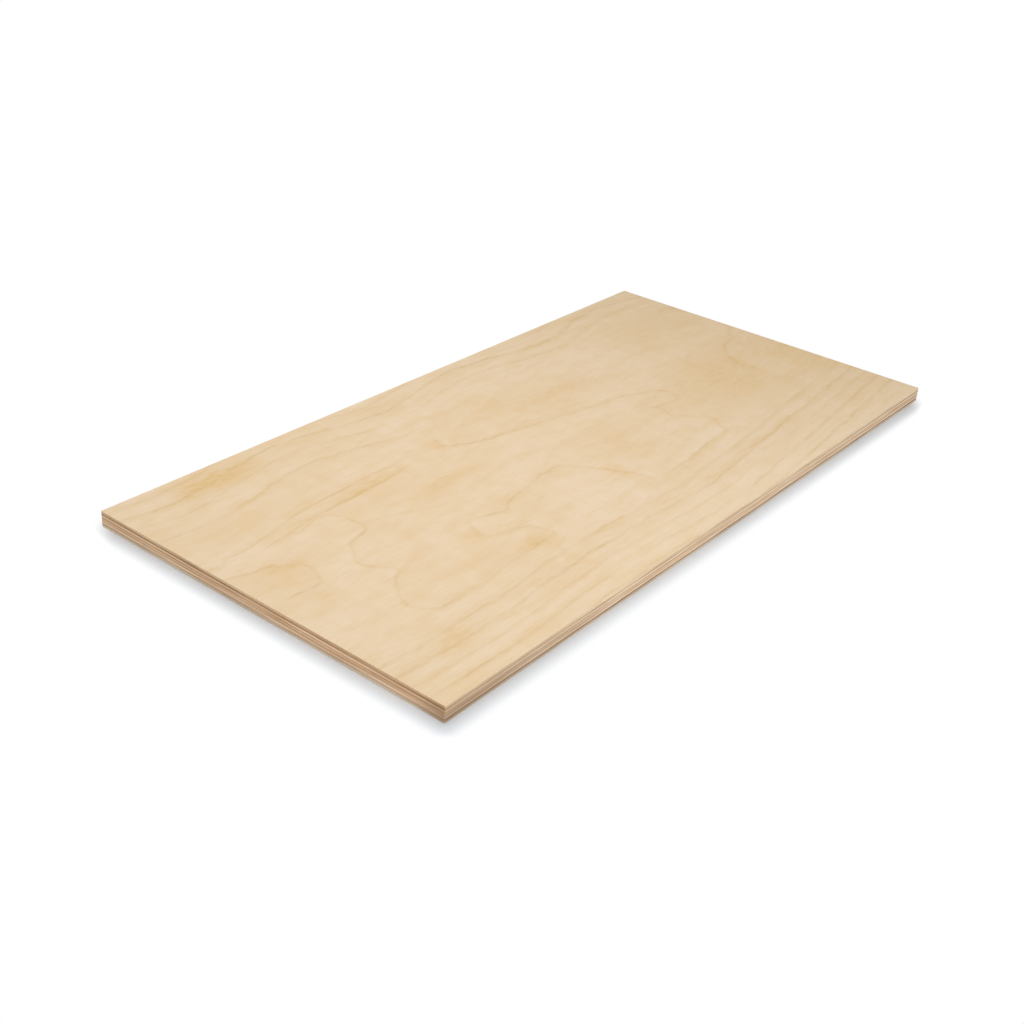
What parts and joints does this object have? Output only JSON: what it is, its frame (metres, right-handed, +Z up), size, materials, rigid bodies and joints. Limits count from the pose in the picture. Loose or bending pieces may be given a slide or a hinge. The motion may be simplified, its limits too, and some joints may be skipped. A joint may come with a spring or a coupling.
{
  "type": "plywood sheet",
  "caption": "Flat rectangular plywood panel, sawn square, its cross-laid veneers showing as alternating light and dark bands along every edge.",
  "frame": {"origin": "centre of the underside, the face the panel lies on", "axes": "+X along the long edges and the grain of the face, +Y across the panel, +Z up out of the face"},
  "size_m": [0.61, 0.305, 0.012],
  "materials": {
    "face_veneer": "sanded, unfinished rotary-cut veneer",
    "back_veneer": "sanded, unfinished rotary-cut veneer",
    "long_band_veneer": "sawn veneer edge, pale",
    "crossband_veneer": "sawn veneer edge, dark",
    "core_veneer": "sawn veneer edge, middle tone"
  },
  "bodies": {
    "root": {"ply_1_face": "face_veneer", "ply_2_crossband": "crossband_veneer", "ply_3_long_band": "long_band_veneer", "ply_4_crossband": "crossband_veneer", "ply_5_core": "core_veneer", "ply_6_crossband": "crossband_veneer", "ply_7_long_band": "long_band_veneer", "ply_8_crossband": "crossband_veneer", "ply_9_back": "back_veneer"}
  },
  "joints": []
}
